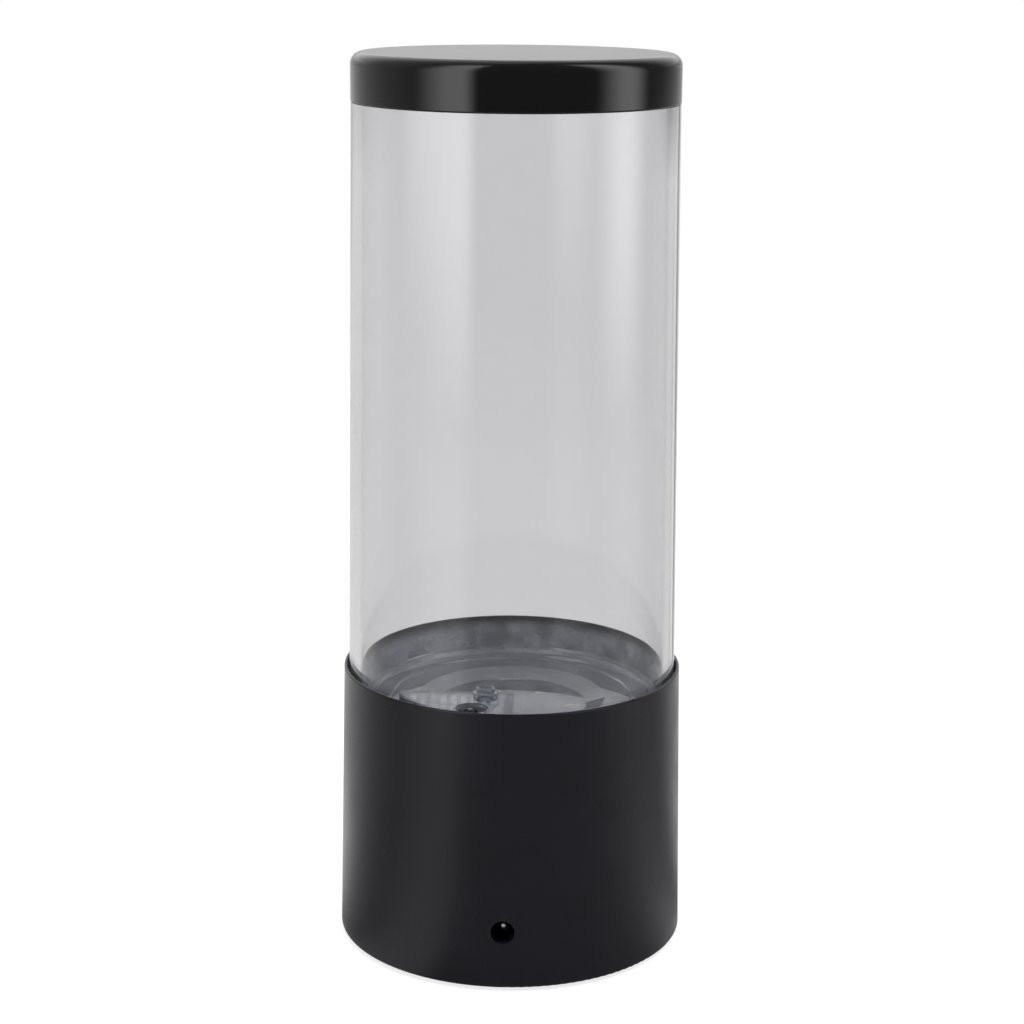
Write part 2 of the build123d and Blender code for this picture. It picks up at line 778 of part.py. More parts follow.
with BuildPart() as led_board_screws:
    with Locations(Plane.XY.offset(led_board_bottom_z)):
        with Locations(*peg_points):
            add(small_screw)
write(led_board_screws, "led_board_screws")

# Bottom cover: a round plate inside the shell's edge, with posts for the control board
board_top_z = jack_z - jack_height / 2
board_bottom_z = board_top_z - board_thickness
jack_front_y = -(math.sqrt(shell_inner_radius**2 - (jack_width / 2) ** 2) - jack_wall_gap)
board_front_y = jack_front_y + board_jack_step
board_middle_y = board_front_y + board_length / 2
chip_y = board_middle_y + chip_board_offset
capacitor_y = board_middle_y + capacitor_board_offset
connector_y = board_middle_y + connector_board_offset
post_span_x = board_width - 2 * board_post_inset_x
post_span_y = board_length - 2 * board_post_inset_y
head_pocket = cover_screw_head_height + head_recess_gap
with BuildPart() as bottom_cover:
    with BuildSketch(Plane.XY.offset(shell_bottom_z)):
        Circle(shell_inner_radius - cover_plate_gap)
    extrude(amount=cover_plate_thickness)
    fillet(bottom_cover.edges().group_by(Axis.Z)[0], radius=cover_plate_round)
    with BuildSketch(Plane.XY.offset(cover_plate_top_z)):
        with Locations((0, board_middle_y)):
            with GridLocations(post_span_x, post_span_y, 2, 2):
                Circle(board_post_radius)
    extrude(amount=board_bottom_z - cover_plate_top_z)
    with BuildSketch(Plane.XY.offset(board_bottom_z)):
        with Locations((0, board_middle_y)):
            with GridLocations(post_span_x, post_span_y, 2, 2):
                Circle(small_screw_radius + pilot_gap)
    extrude(amount=-small_screw_length, mode=Mode.SUBTRACT)
    with BuildSketch(Plane.XY.offset(shell_bottom_z)):
        with PolarLocations(foot_circle_radius, foot_count):
            Circle(foot_radius + foot_gap)
        with PolarLocations(cover_screw_circle_radius, cover_screw_count, start_angle=screw_start_angle):
            Circle(cover_screw_head + head_side_gap)
    extrude(amount=head_pocket, mode=Mode.SUBTRACT)
    with BuildSketch(Plane.XY.offset(shell_bottom_z)):
        with PolarLocations(cover_screw_circle_radius, cover_screw_count, start_angle=screw_start_angle):
            Circle(cover_screw_radius + shank_gap)
    extrude(amount=cover_plate_thickness, mode=Mode.SUBTRACT)
write(bottom_cover, "bottom_cover")

foot_top_z = shell_bottom_z + head_pocket
with BuildPart() as rubber_feet:
    with BuildSketch(Plane.XY):
        with PolarLocations(foot_circle_radius, foot_count):
            Circle(foot_radius)
    extrude(amount=foot_top_z)
    fillet(rubber_feet.edges().group_by(Axis.Z)[0], radius=foot_round)
write(rubber_feet, "rubber_feet")

cover_screw = pan_screw(cover_screw_head, cover_screw_head_height, cover_screw_radius, cover_screw_length)
with BuildPart() as cover_screws:
    with Locations(Plane.XY.offset(shell_bottom_z + head_pocket)):
        with PolarLocations(cover_screw_circle_radius, cover_screw_count, start_angle=screw_start_angle):
            add(cover_screw)
write(cover_screws, "cover_screws")

# Control board with its parts
with BuildPart() as control_board:
    with BuildSketch(Plane.XY.offset(board_bottom_z)):
        with Locations((0, board_middle_y)):
            RectangleRounded(board_width, board_length, board_corner_round)
            with GridLocations(post_span_x, post_span_y, 2, 2):
                Circle(small_screw_radius + shank_gap, mode=Mode.SUBTRACT)
    extrude(amount=board_thickness)
write(control_board, "control_board")

with BuildPart() as board_screws:
    with Locations(Plane.XY.offset(board_top_z)):
        with Locations((0, board_middle_y)):
            with GridLocations(post_span_x, post_span_y, 2, 2):
                add(small_screw, rotation=(180, 0, 0))
write(board_screws, "board_screws")

with BuildPart() as driver_chip:
    with BuildSketch(Plane.XY.offset(board_top_z)):
        with Locations((chip_x, chip_y)):
            with GridLocations(chip_leg_spacing, chip_leg_spacing, chip_leg_count, 1):
                Rectangle(chip_leg_width, chip_width + 2 * chip_leg_length)
    extrude(amount=chip_leg_height)
    with BuildSketch(Plane.XY.offset(board_top_z)):
        with Locations((chip_x, chip_y)):
            Rectangle(chip_length, chip_width)
    extrude(amount=chip_height)
write(driver_chip, "driver_chip")

with BuildPart() as capacitor:
    with BuildSketch(Plane.XY.offset(board_top_z)):
        with Locations((capacitor_x, capacitor_y)):
            Circle(capacitor_radius)
    extrude(amount=capacitor_height)
    fillet(capacitor.edges().group_by(Axis.Z)[-1], radius=capacitor_round)
write(capacitor, "capacitor")

with BuildPart() as wire_connectors:
    with BuildSketch(Plane.XY.offset(board_top_z)):
        with Locations((connector_x, connector_y), (-connector_x, connector_y)):
            Rectangle(connector_length, connector_width)
    extrude(amount=connector_height)
    with BuildSketch(Plane.XY.offset(board_top_z + connector_height)):
        with Locations((connector_x, connector_y), (-connector_x, connector_y)):
            Rectangle(connector_length - 2 * connector_wall, connector_width - 2 * connector_wall)
    extrude(amount=-connector_depth, mode=Mode.SUBTRACT)
write(wire_connectors, "wire_connectors")

# Power socket: a block with a round mouth behind the shell's hole, a centre pin and a spring leaf
jack_back_y = jack_front_y + jack_length
bore_back_y = jack_front_y + jack_bore_depth
pin_tip_y = -shell_bottom_radius + jack_pin_recess
jack_middle_y = (jack_front_y + jack_back_y) / 2
with BuildPart() as dc_jack:
    with BuildSketch(Plane.XY.offset(board_top_z)):
        with Locations((0, jack_middle_y)):
            Rectangle(jack_width, jack_length)
    extrude(amount=jack_height)
    fillet(dc_jack.edges().filter_by(Axis.Y).group_by(Axis.Z)[-1], radius=jack_edge_round)
    with BuildSketch(Plane.XZ.offset(-jack_front_y)):
        with Locations((0, jack_z)):
            Circle(jack_bore_radius)
        with Locations((0, jack_z - jack_bore_radius - leaf_slot_depth)):
            Rectangle(leaf_width + 2 * leaf_slot_gap, jack_bore_radius, align=(Align.CENTER, Align.MIN))
    extrude(amount=-jack_bore_depth, mode=Mode.SUBTRACT)
write(dc_jack, "dc_jack")

with BuildPart() as dc_jack_pin:
    with BuildSketch(Plane.XZ.offset(-bore_back_y)):
        with Locations((0, jack_z)):
            Circle(jack_pin_radius)
    extrude(amount=bore_back_y - pin_tip_y)
    fillet(dc_jack_pin.edges().group_by(Axis.Y)[0], radius=jack_pin_round)
write(dc_jack_pin, "dc_jack_pin")

leaf_bottom_z = jack_z - jack_bore_radius - leaf_slot_depth
leaf_front_y = jack_front_y + leaf_end_space
leaf_middle_y = (leaf_front_y + bore_back_y) / 2
leaf_crest_z = jack_z - jack_bore_radius + leaf_crest
with BuildPart() as dc_jack_contact:
    with BuildSketch(Plane.YZ.offset(-leaf_width / 2)):
        with BuildLine():
            Polyline(
                (leaf_front_y, leaf_bottom_z),
                (leaf_middle_y, leaf_crest_z - leaf_thickness),
                (bore_back_y, leaf_bottom_z),
                (bore_back_y, leaf_bottom_z + leaf_thickness),
                (leaf_middle_y, leaf_crest_z),
                (leaf_front_y, leaf_bottom_z + leaf_thickness),
                close=True,
            )
        make_face()
    extrude(amount=leaf_width)
write(dc_jack_contact, "dc_jack_contact")


def lead(points):
    """A wire along these points, with each corner as round as its two runs allow; prints the radii."""
    corners = [Vector(*point) for point in points]
    radii = []
    for before, corner, after in zip(corners, corners[1:], corners[2:]):
        first_run = corner - before
        second_run = after - corner
        turn = first_run.get_angle(second_run)
        shorter_run = min(first_run.length, second_run.length)
        radii.append(run_share * shorter_run / math.tan(math.radians(turn / 2)))
    print("lead corner radii", [round(radius, 1) for radius in radii])
    with BuildPart() as wire:
        with BuildLine() as route:
            FilletPolyline(*points, radius=radii)
        with BuildSketch(Plane(origin=route.line @ 0, z_dir=route.line % 0)):
            Circle(wire_radius)
        sweep(path=route.line)
    return wire.part


# Leads: from the connectors up to the motor's end cap and to the lamp board
lead_foot_z = board_top_z + connector_height - connector_depth
lead_top_z = board_top_z + connector_height + lead_rise
motor_terminal_offset = (bush_radius + cradle_hole_radius) / 2
with BuildPart() as motor_leads:
    for side in (-1, 1):
        foot_x = -connector_x + side * wire_spacing / 2
        terminal_x = pump_x + side * motor_terminal_offset
        add(
            lead(
                [
                    (foot_x, connector_y, lead_foot_z),
                    (foot_x, connector_y, lead_top_z),
                    (terminal_x, pump_y, motor_bottom_z - lead_rise),
                    (terminal_x, pump_y, motor_bottom_z),
                ]
            )
        )
write(motor_leads, "motor_leads")

led_lead_middle_x, led_lead_middle_y = polar(led_lead_radius, away_angle + led_lead_turn_angle)
with BuildPart() as led_leads:
    for side in (-1, 0, 1):
        foot_x = connector_x + side * wire_spacing
        top_x = led_lead_middle_x + side * wire_spacing
        add(
            lead(
                [
                    (foot_x, connector_y, lead_foot_z),
                    (foot_x, connector_y, lead_top_z),
                    (top_x, led_lead_middle_y, led_board_bottom_z - lead_rise),
                    (top_x, led_lead_middle_y, led_board_bottom_z),
                ]
            )
        )
write(led_leads, "led_leads")

# Lid: a glossy cap whose skirt drops over the neck, with a plug ring and its seal inside the neck
lid_radius = tube_top_radius + lid_overhang
skirt_inner_radius = neck_radius + skirt_gap
plug_radius = tube_top_bore_radius - plug_gap
plug_inner_radius = plug_radius - plug_wall
plug_bottom_z = roof_bottom_z - plug_depth
seal_z = roof_bottom_z - seal_drop
seal_outer_radius = tube_top_bore_radius - seal_gap
seal_circle_radius = seal_outer_radius - seal_wire
groove_radius = seal_circle_radius - seal_wire - seal_groove_gap
groove_height = 2 * (seal_wire + seal_groove_gap)
with BuildPart() as lid:
    with BuildSketch(Plane.XZ):
        with BuildLine():
            Polyline(
                (0, roof_bottom_z),
                (plug_inner_radius, roof_bottom_z),
                (plug_inner_radius, plug_bottom_z),
                (plug_radius, plug_bottom_z),
                (plug_radius, seal_z - groove_height / 2),
                (groove_radius, seal_z - groove_height / 2),
                (groove_radius, seal_z + groove_height / 2),
                (plug_radius, seal_z + groove_height / 2),
                (plug_radius, roof_bottom_z),
                (skirt_inner_radius, roof_bottom_z),
                (skirt_inner_radius, lid_bottom_z),
                (lid_radius, lid_bottom_z),
                (lid_radius, lid_top_z),
                (0, lid_top_z),
                close=True,
            )
        make_face()
    revolve(axis=Axis.Z)
    fillet(lid.edges().group_by(Axis.Z)[-1], radius=lid_top_round)
    fillet(lid.edges().group_by(Axis.Z)[0].sort_by(SortBy.LENGTH)[-1], radius=lid_lip_round)
write(lid, "lid")

with BuildPart() as lid_seal:
    with BuildSketch(Plane.XZ):
        with Locations((seal_circle_radius, seal_z)):
            Circle(seal_wire)
    revolve(axis=Axis.Z)
write(lid_seal, "lid_seal")
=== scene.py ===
"""Finishes, studio and camera of the jellyfish lamp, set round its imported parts. Lengths are metres."""

import json
import math

import bmesh
import bpy
from mathutils import Matrix, Vector


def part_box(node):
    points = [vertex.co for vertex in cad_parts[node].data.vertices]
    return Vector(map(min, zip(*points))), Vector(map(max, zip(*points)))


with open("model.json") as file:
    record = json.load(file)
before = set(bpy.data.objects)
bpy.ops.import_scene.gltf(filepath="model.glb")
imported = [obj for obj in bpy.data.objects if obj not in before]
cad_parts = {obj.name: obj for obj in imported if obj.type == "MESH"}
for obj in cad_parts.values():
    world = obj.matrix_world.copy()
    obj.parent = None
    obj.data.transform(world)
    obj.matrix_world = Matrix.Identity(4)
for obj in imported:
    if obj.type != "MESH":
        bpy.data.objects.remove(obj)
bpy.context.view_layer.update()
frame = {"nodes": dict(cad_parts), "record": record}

mm = 0.001
white = (1.0, 1.0, 1.0)


class Graph:
    """A node tree with short calls that add nodes and join them."""

    noise_roughness = 0.55

    # Places of the colour sockets in a Mix node
    mix_first = 6
    mix_second = 7
    mix_result = 2

    def __init__(self, tree):
        self.tree = tree
        tree.nodes.clear()

    def node(self, kind, inputs=None, **settings):
        """A new node: settings are its properties, and inputs holds a value or a socket for each input."""
        made = self.tree.nodes.new(kind)
        for name, value in settings.items():
            setattr(made, name, value)
        for key, value in (inputs or {}).items():
            if isinstance(value, bpy.types.NodeSocket):
                self.tree.links.new(value, made.inputs[key])
            else:
                made.inputs[key].default_value = value
        return made

    def math(self, operation, a, b=0.0):
        """The result of one sum on two numbers or sockets."""
        return self.node("ShaderNodeMath", {0: a, 1: b}, operation=operation).outputs[0]

    def split(self, vector):
        """The x, y and z of a vector."""
        return self.node("ShaderNodeSeparateXYZ", {0: vector}).outputs

    def level(self, colour):
        """The first channel of a grey colour."""
        return self.node("ShaderNodeSeparateColor", {"Color": colour}).outputs[0]

    def spread(self, value, low, high, start, end, smooth=False):
        """value between low and high, as a number from start to end."""
        kind = "SMOOTHSTEP" if smooth else "LINEAR"
        places = {"Value": value, "From Min": low, "From Max": high, "To Min": start, "To Max": end}
        return self.node("ShaderNodeMapRange", places, interpolation_type=kind).outputs["Result"]

    def window(self, value, start, full, end, gone):
        """1 between full and end, fading to 0 at start and at gone."""
        rise = self.spread(value, start, full, 0.0, 1.0, smooth=True)
        fall = self.spread(value, end, gone, 1.0, 0.0, smooth=True)
        return self.math("MULTIPLY", rise, fall)

    def noise(self, place, size, detail):
        """Noise of one size at a place, from 0 to 1."""
        inputs = {"Vector": place, "Scale": 1.0 / size, "Detail": detail, "Roughness": self.noise_roughness}
        return self.node("ShaderNodeTexNoise", inputs).outputs["Fac"]

    def streaks(self, place, scale, detail):
        """Noise drawn out by a scale for each axis."""
        stretched = self.node("ShaderNodeMapping", {"Vector": place, "Scale": scale}).outputs[0]
        return self.noise(stretched, 1.0, detail)

    def blend(self, share, first, second):
        """Two colours mixed by a share."""
        inputs = {0: share, self.mix_first: first, self.mix_second: second}
        return self.node("ShaderNodeMix", inputs, data_type="RGBA").outputs[self.mix_result]

    def bump(self, height, depth):
        """A normal from a height between 0 and 1 and its depth in metres."""
        return self.node("ShaderNodeBump", {"Height": height, "Distance": depth}).outputs["Normal"]

    def emission(self, strength):
        """White light of a strength."""
        return self.node("ShaderNodeEmission", {"Color": grey(1.0), "Strength": strength}).outputs[0]

    def add(self, first, second):
        """Two shaders together."""
        return self.node("ShaderNodeAddShader", {0: first, 1: second}).outputs[0]

    def mix(self, share, first, second):
        """Two shaders mixed by a share."""
        return self.node("ShaderNodeMixShader", {0: share, 1: first, 2: second}).outputs[0]


def grey(level, tint=white):
    """A colour of one level with a slight tint."""
    return (level * tint[0], level * tint[1], level * tint[2], 1.0)


def shade(colour, factor):
    """A colour made lighter or darker."""
    return [min(1.0, channel * factor) for channel in colour[:3]] + [1.0]


def new_material(name):
    """A material with an empty node tree, and its graph and object-space place."""
    material = bpy.data.materials.new(name)
    material.use_nodes = True
    graph = Graph(material.node_tree)
    place = graph.node("ShaderNodeTexCoord").outputs["Object"]
    return material, graph, place


def close(graph, surface):
    """Ends a material's tree with its surface."""
    graph.node("ShaderNodeOutputMaterial", {"Surface": surface})


def dust(graph, place, share):
    """Sparse specks of lint, 1 on a speck and 0 elsewhere, on a share of the cells they lie in."""
    spacing = 5 * mm
    size = 0.14 * mm
    cells = graph.node("ShaderNodeTexVoronoi", {"Vector": place, "Scale": 1.0 / spacing})
    speck = graph.math("LESS_THAN", cells.outputs["Distance"], size / spacing)
    picked = graph.math("LESS_THAN", graph.level(cells.outputs["Color"]), share)
    return graph.math("MULTIPLY", speck, picked)


# The values of a noise over which it changes the gloss
gloss_band = (0.3, 0.7)


def moulded(name, colour, roughness, grain, depth, specular=0.5, specks=0.0):
    """Moulded plastic: fine eroded grain, slow changes of gloss and, where asked, a little dust."""
    cloud_to_grain = 60
    pale = 1.25
    colour_band = (0.35, 0.65)
    gloss_change = 0.05
    lint_colour = grey(0.12)
    material, graph, place = new_material(name)
    fine = graph.noise(place, grain, detail=2.0)
    cloud = graph.noise(place, cloud_to_grain * grain, detail=3.0)
    base = graph.blend(graph.spread(cloud, *colour_band, 0.0, 1.0), colour, shade(colour, pale))
    if specks:
        base = graph.blend(dust(graph, place, specks), base, lint_colour)
    shader = graph.node("ShaderNodeBsdfPrincipled", {
        "Base Color": base,
        "Roughness": graph.spread(cloud, *gloss_band, roughness - gloss_change, roughness + gloss_change),
        "Specular IOR Level": specular,
        "Normal": graph.bump(fine, depth),
    })
    close(graph, shader.outputs[0])
    return material


def polished(name, colour, roughness):
    """Polished plastic: a deep gloss with faint wiping marks."""
    smear_size = 9 * mm
    wave_size = 14 * mm
    wave_depth = 0.03 * mm
    mark_scale = (60.0, 900.0, 60.0)
    mark_band = (0.62, 0.7)
    mark_strength = 0.35
    dull_band = (0.35, 1.1)
    pale = 1.3
    dull = 2.2
    material, graph, place = new_material(name)
    smear = graph.noise(place, smear_size, detail=4.0)
    marks = graph.spread(graph.streaks(place, mark_scale, detail=2.0), *mark_band, 0.0, mark_strength)
    worn = graph.math("ADD", smear, marks)
    wave = graph.noise(place, wave_size, detail=1.0)
    shader = graph.node("ShaderNodeBsdfPrincipled", {
        "Base Color": graph.blend(smear, colour, shade(colour, pale)),
        "Roughness": graph.spread(worn, *dull_band, roughness, dull * roughness),
        "Normal": graph.bump(wave, wave_depth),
    })
    close(graph, shader.outputs[0])
    return material


# The haze low in the tank lies below the shell's rim
film_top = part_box("base_shell")[1][2]
film_fade = 3.5 * mm
film_colour = (0.74, 0.78, 0.845, 1.0)
film_patch_size = 7 * mm
wall_unevenness = 0.5
flat_unevenness = 0.2

# The pump cover's upright faces carry a painted shade that makes them darker than its roof. The nozzle on
# the roof is rougher and cleaner
cover_height = 4.0 * mm
nozzle_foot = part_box("pump_cover")[0][2] + cover_height
nozzle_blend = 0.2 * mm
nozzle_roughness = 0.15
nozzle_film_share = 0.2
cover_wall_painted_shade = (0.3, 0.31, 0.34, 1.0)


def clear(name, tint, roughness, wave_depth, flat_film, wall_film, specular=0.5, is_cover=False):
    """Clear plastic, faintly wavy, with a bluish haze low in the tank, and on the pump cover a painted shade
    that darkens the upright faces. Lamps reach what is behind it.
    """
    wave_scale = (70.0, 70.0, 9.0)
    patch_band = (0.4, 0.62)
    dull_band = (0.5, 0.8)
    dull = 2.5
    dull_extra = 0.01
    plastic_ior = 1.49
    material, graph, place = new_material(name)
    wave = graph.streaks(place, wave_scale, detail=1.0)
    haze = graph.noise(place, film_patch_size, detail=4.0)
    height = graph.split(place)[2]
    low = graph.spread(height, film_top - film_fade, film_top, 1.0, 0.0, smooth=True)
    normal = graph.node("ShaderNodeNewGeometry").outputs["Normal"]
    flat = graph.math("ABSOLUTE", graph.split(normal)[2])
    film = graph.math("MULTIPLY", low, graph.spread(flat, 0.0, 1.0, wall_film, flat_film))
    uneven = graph.math("MULTIPLY", graph.spread(haze, *patch_band, -1.0, 1.0),
                        graph.spread(flat, 0.0, 1.0, wall_unevenness, flat_unevenness))
    film = graph.math("MULTIPLY", film, graph.math("ADD", uneven, 1.0))
    rough = graph.spread(haze, *dull_band, roughness, dull * roughness + dull_extra)
    stain_and_painted_shade = graph.blend(low, tint, film_colour)
    if is_cover:
        nozzle = graph.spread(height, nozzle_foot - nozzle_blend, nozzle_foot + nozzle_blend, 0.0, 1.0)
        rough = graph.math("ADD", rough, graph.math("MULTIPLY", nozzle, nozzle_roughness))
        film = graph.math("MULTIPLY", film, graph.spread(nozzle, 0.0, 1.0, 1.0, nozzle_film_share))
        # Painted shade: the cover's upright faces get a darker colour than its roof, though both are the
        # same clear plastic
        stain_and_painted_shade = graph.blend(graph.math("MAXIMUM", flat, nozzle), cover_wall_painted_shade, stain_and_painted_shade)
    shader = graph.node("ShaderNodeBsdfPrincipled", {
        "Base Color": stain_and_painted_shade,
        "Roughness": rough,
        "IOR": plastic_ior,
        "Specular IOR Level": specular,
        "Transmission Weight": graph.math("SUBTRACT", 1.0, film),
        "Normal": graph.bump(wave, wave_depth),
    })
    through = graph.node("ShaderNodeBsdfTransparent", {"Color": tint})
    is_shadow = graph.node("ShaderNodeLightPath").outputs["Is Shadow Ray"]
    close(graph, graph.mix(is_shadow, shader.outputs[0], through.outputs[0]))
    return material


def metal(name, colour, roughness):
    """Drawn or turned metal with fine lines and darker patches."""
    line_scale = (300.0, 300.0, 4000.0)
    line_depth = 0.002 * mm
    patch_size = 3 * mm
    patch_band = (0.35, 0.7)
    dark = 0.7
    smooth = 0.7
    dull = 1.5
    material, graph, place = new_material(name)
    line = graph.streaks(place, line_scale, detail=3.0)
    patch = graph.noise(place, patch_size, detail=3.0)
    shader = graph.node("ShaderNodeBsdfPrincipled", {
        "Base Color": graph.blend(graph.spread(patch, *patch_band, 0.0, 1.0), colour, shade(colour, dark)),
        "Metallic": 1.0,
        "Roughness": graph.spread(line, *gloss_band, smooth * roughness, dull * roughness),
        "Normal": graph.bump(line, line_depth),
    })
    close(graph, shader.outputs[0])
    return material


def rubber(name, colour, roughness, see_through=0.0):
    """Soft moulded rubber with a fine matt skin."""
    skin_size = 0.3 * mm
    skin_depth = 0.01 * mm
    patch_size = 8 * mm
    dark = 0.8
    gloss_change = 0.1
    material, graph, place = new_material(name)
    skin = graph.noise(place, skin_size, detail=3.0)
    patch = graph.noise(place, patch_size, detail=2.0)
    shader = graph.node("ShaderNodeBsdfPrincipled", {
        "Base Color": graph.blend(patch, colour, shade(colour, dark)),
        "Roughness": graph.spread(skin, *gloss_band, roughness - gloss_change, roughness + gloss_change),
        "Transmission Weight": see_through,
        "Normal": graph.bump(skin, skin_depth),
    })
    close(graph, shader.outputs[0])
    return material


def circuit(name, mask, copper):
    """A lacquered board with plain straight tracks under the lacquer."""
    track_spacing = 6 * mm
    track_depth = 0.03 * mm
    track_strength = 0.6
    speck_size = 0.5 * mm
    lacquer_roughness = (0.3, 0.45)
    material, graph, place = new_material(name)
    tracks = graph.node("ShaderNodeTexBrick", {
        "Vector": place, "Scale": 1.0 / track_spacing, "Mortar Size": 0.05, "Mortar Smooth": 0.1,
        "Brick Width": 1.6, "Row Height": 0.4,
    }).outputs["Fac"]
    speck = graph.noise(place, speck_size, detail=2.0)
    shader = graph.node("ShaderNodeBsdfPrincipled", {
        "Base Color": graph.blend(graph.math("MULTIPLY", tracks, track_strength), mask, copper),
        "Roughness": graph.spread(speck, *gloss_band, *lacquer_roughness),
        "Normal": graph.bump(tracks, track_depth),
    })
    close(graph, shader.outputs[0])
    return material


def winding(name, colour):
    """Enamelled wire laid in turns round a drum."""
    turn_spacing = 2.5 * mm
    turn_depth = 0.08 * mm
    wire_roughness = (0.5, 0.28)
    dark = 0.45
    material, graph, place = new_material(name)
    turns = graph.node("ShaderNodeTexWave", {
        "Vector": place, "Scale": 1.0 / turn_spacing, "Distortion": 0.6, "Detail": 1.0,
    }, bands_direction="Z").outputs["Fac"]
    shader = graph.node("ShaderNodeBsdfPrincipled", {
        "Base Color": graph.blend(turns, shade(colour, dark), colour),
        "Metallic": 0.8,
        "Roughness": graph.spread(turns, 0.0, 1.0, *wire_roughness),
        "Normal": graph.bump(turns, turn_depth),
    })
    close(graph, shader.outputs[0])
    return material


# The finish of each material slot, and of the one piece that has a finish of its own
finishes = {
    "black_satin": moulded("black_satin", (0.0046, 0.0043, 0.0085, 1.0), roughness=0.28, grain=0.28 * mm,
                           depth=0.006 * mm, specular=0.35, specks=0.012),
    "black_gloss": polished("black_gloss", grey(0.0035), roughness=0.055),
    "black_matte": moulded("black_matte", grey(0.012), roughness=0.42, grain=0.35 * mm, depth=0.01 * mm),
    "clear_acrylic": clear("clear_acrylic", (0.795, 0.79, 0.8, 1.0), roughness=0.004, wave_depth=0.05 * mm,
                           flat_film=0.085, wall_film=0.24),
    "clear_cover": clear("clear_cover", (0.84, 0.845, 0.86, 1.0), roughness=0.006, wave_depth=0.02 * mm,
                         flat_film=0.03, wall_film=0.03, specular=0.32, is_cover=True),
    "rubber_black": rubber("rubber_black", grey(0.02), roughness=0.75),
    "silicone": rubber("silicone", grey(0.62, (1.0, 1.0, 0.97)), roughness=0.45, see_through=0.4),
    "screw_steel": metal("screw_steel", grey(0.52, (1.0, 1.0, 1.04)), roughness=0.3),
    "shaft_steel": metal("shaft_steel", grey(0.6), roughness=0.18),
    "can_steel": metal("can_steel", grey(0.55), roughness=0.32),
    "magnet_nickel": metal("magnet_nickel", grey(0.62, (1.0, 0.97, 0.92)), roughness=0.2),
    "ferrite": moulded("ferrite", grey(0.05), roughness=0.6, grain=0.2 * mm, depth=0.02 * mm),
    "copper_winding": winding("copper_winding", (0.62, 0.26, 0.1, 1.0)),
    "bush_brass": metal("bush_brass", (0.62, 0.46, 0.2, 1.0), roughness=0.28),
    "white_nylon": moulded("white_nylon", grey(0.72, (1.0, 0.98, 0.93)), roughness=0.45, grain=0.3 * mm,
                           depth=0.008 * mm),
    "board_white": circuit("board_white", grey(0.78), grey(0.66, (1.0, 0.96, 0.9))),
    "board_green": circuit("board_green", (0.015, 0.12, 0.05, 1.0), (0.05, 0.22, 0.09, 1.0)),
    "led_yellow": moulded("led_yellow", (0.72, 0.62, 0.28, 1.0), roughness=0.25, grain=0.15 * mm,
                          depth=0.004 * mm),
    "chip_black": moulded("chip_black", grey(0.03), roughness=0.5, grain=0.12 * mm, depth=0.006 * mm),
    "capacitor_can": metal("capacitor_can", grey(0.7), roughness=0.35),
    "jack_black": moulded("jack_black", grey(0.006), roughness=0.3, grain=0.3 * mm, depth=0.005 * mm),
    "contact_nickel": metal("contact_nickel", grey(0.8, (1.0, 0.98, 0.94)), roughness=0.12),
    "lead_red": rubber("lead_red", (0.5, 0.03, 0.02, 1.0), roughness=0.4),
    "lead_white": rubber("lead_white", grey(0.75), roughness=0.4),
}
own_finish = {"pump_cover": "clear_cover"}
for part in frame["record"]["subparts"]:
    piece = frame["nodes"][part["node"]]
    finish = finishes[own_finish.get(part["node"], part["material_slot"])]
    for index in range(len(piece.material_slots)):
        piece.material_slots[index].material = finish


# Camera, from a perspective fit of the lamp's outline
camera_turn = math.radians(2.31)
camera_distance = 578.4 * mm
camera_height = 256.9 * mm
camera_side = 0.24 * mm
camera_pitch = math.radians(14.02)
camera_roll = math.radians(0.436)
camera_lens_mm = 81.51
sensor_mm = 36.0
camera_nearest = 0.01
camera_farthest = 50.0

# Levels of the studio's light. Bearings and rises are in degrees, and a bearing is 0 towards the camera
half_turn = 180
room_levels = (
    (-180, 0.62), (-150, 0.68), (-120, 0.5), (-85, 0.32), (-62, 0.22), (-25, 0.13), (45, 0.13),
    (60, 0.14), (110, 0.15), (120, 0.16), (149, 0.45), (165, 0.58), (180, 0.62),
)
low_levels = (
    (-180, 0.8), (-150, 0.78), (-115, 0.7), (-92, 0.5), (-62, 0.22), (-25, 0.13), (45, 0.13), (60, 0.14),
    (106, 0.25), (125, 0.62), (147, 0.75), (180, 0.78),
)
room_foot = (-5.5, -3.5)
box_level = 2.15
left_box = (-76.0, -44.0, -37.0, -25.0)
right_box = (54.0, 80.0, 83.0, 105.0)
box_rises = (-13.0, -4.0, 55.0, 75.0)
backdrop_level = 0.5
backdrop_bearings = (120.0, 160.0)
backdrop_rises = (4.0, 12.0, 45.0, 70.0)

# The floor fades out at its edge. It has one level for the eye, and a gleam by bearing for all other rays
floor_radius = 0.9
floor_steps = 128
floor_fade = 0.6
floor_colour = 0.32
floor_lift = 0.78
floor_lit = 0.36
left_gleam = 0.45
right_gleam = 0.22
near_gleam = 0.3
near_reach = (80 * mm, 190 * mm)
near_bearings = (-130.0, -90.0)
under_gleam = 0.5
under_reach = (38 * mm, 50 * mm)

lamp_size = 1.4
lamp_power = 20.0
lamp_place = (0.2, -0.25, 1.5)


def around(graph, x, y):
    """The bearing of a direction or place, in degrees: 0 towards the camera, plus to the camera's right."""
    bearing = graph.math("DEGREES", graph.math("ARCTAN2", x, graph.math("MULTIPLY", y, -1.0)))
    return graph.math("SUBTRACT", bearing, math.degrees(camera_turn))


def room_light(graph, turn, levels):
    """The room's own level at a bearing, from a list of bearings and levels."""
    ramp = graph.node("ShaderNodeValToRGB", {"Fac": graph.spread(turn, -half_turn, half_turn, 0.0, 1.0)})
    stops = ramp.color_ramp.elements
    while len(stops) < len(levels):
        stops.new(0.5)
    for stop, (bearing, level) in zip(stops, levels):
        stop.position = (bearing + half_turn) / (2 * half_turn)
        stop.color = grey(level)
    return graph.level(ramp.outputs["Color"])


